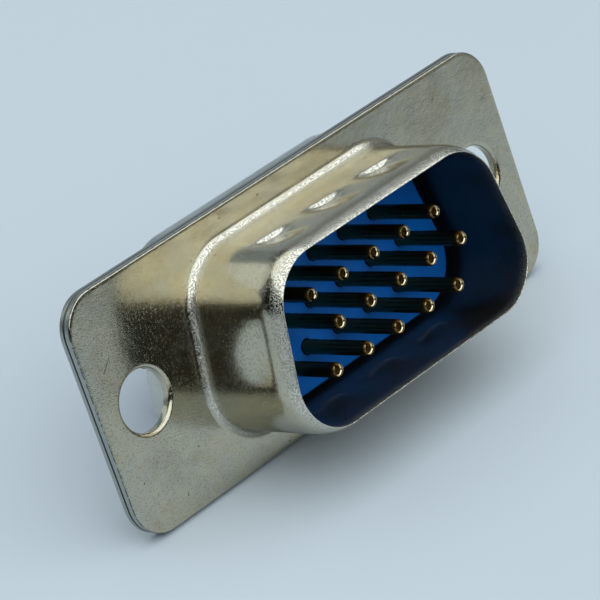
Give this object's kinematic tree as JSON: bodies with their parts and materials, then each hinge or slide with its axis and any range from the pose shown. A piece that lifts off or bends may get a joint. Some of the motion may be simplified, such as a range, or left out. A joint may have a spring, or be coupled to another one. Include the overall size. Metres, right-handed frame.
{
  "type": "d-sub connector",
  "caption": "High density D-shaped plug connector for cable or panel, with metal shroud, blue insulator, rolled gold contacts and solder cups.",
  "frame": {"origin": "centre of the two flange holes, on the flange's front face", "axes": "+X along the flange, -Y the way the plug mates, +Z towards the narrow side of the D"},
  "size_m": [0.0308, 0.0142, 0.0126],
  "materials": {
    "shell_plating": "nickel plated, satin with a fine grain",
    "insulator_blue": "moulded, semi-gloss",
    "contact_gold": "thin gold plating over bronze"
  },
  "bodies": {
    "root": {"front_shell": "shell_plating", "rear_shell": "shell_plating", "front_insulator": "insulator_blue", "rear_insulator": "insulator_blue", "contact_01": "contact_gold", "contact_02": "contact_gold", "contact_03": "contact_gold", "contact_04": "contact_gold", "contact_05": "contact_gold", "contact_06": "contact_gold", "contact_07": "contact_gold", "contact_08": "contact_gold", "contact_09": "contact_gold", "contact_10": "contact_gold", "contact_11": "contact_gold", "contact_12": "contact_gold", "contact_13": "contact_gold", "contact_14": "contact_gold", "contact_15": "contact_gold"}
  },
  "joints": []
}
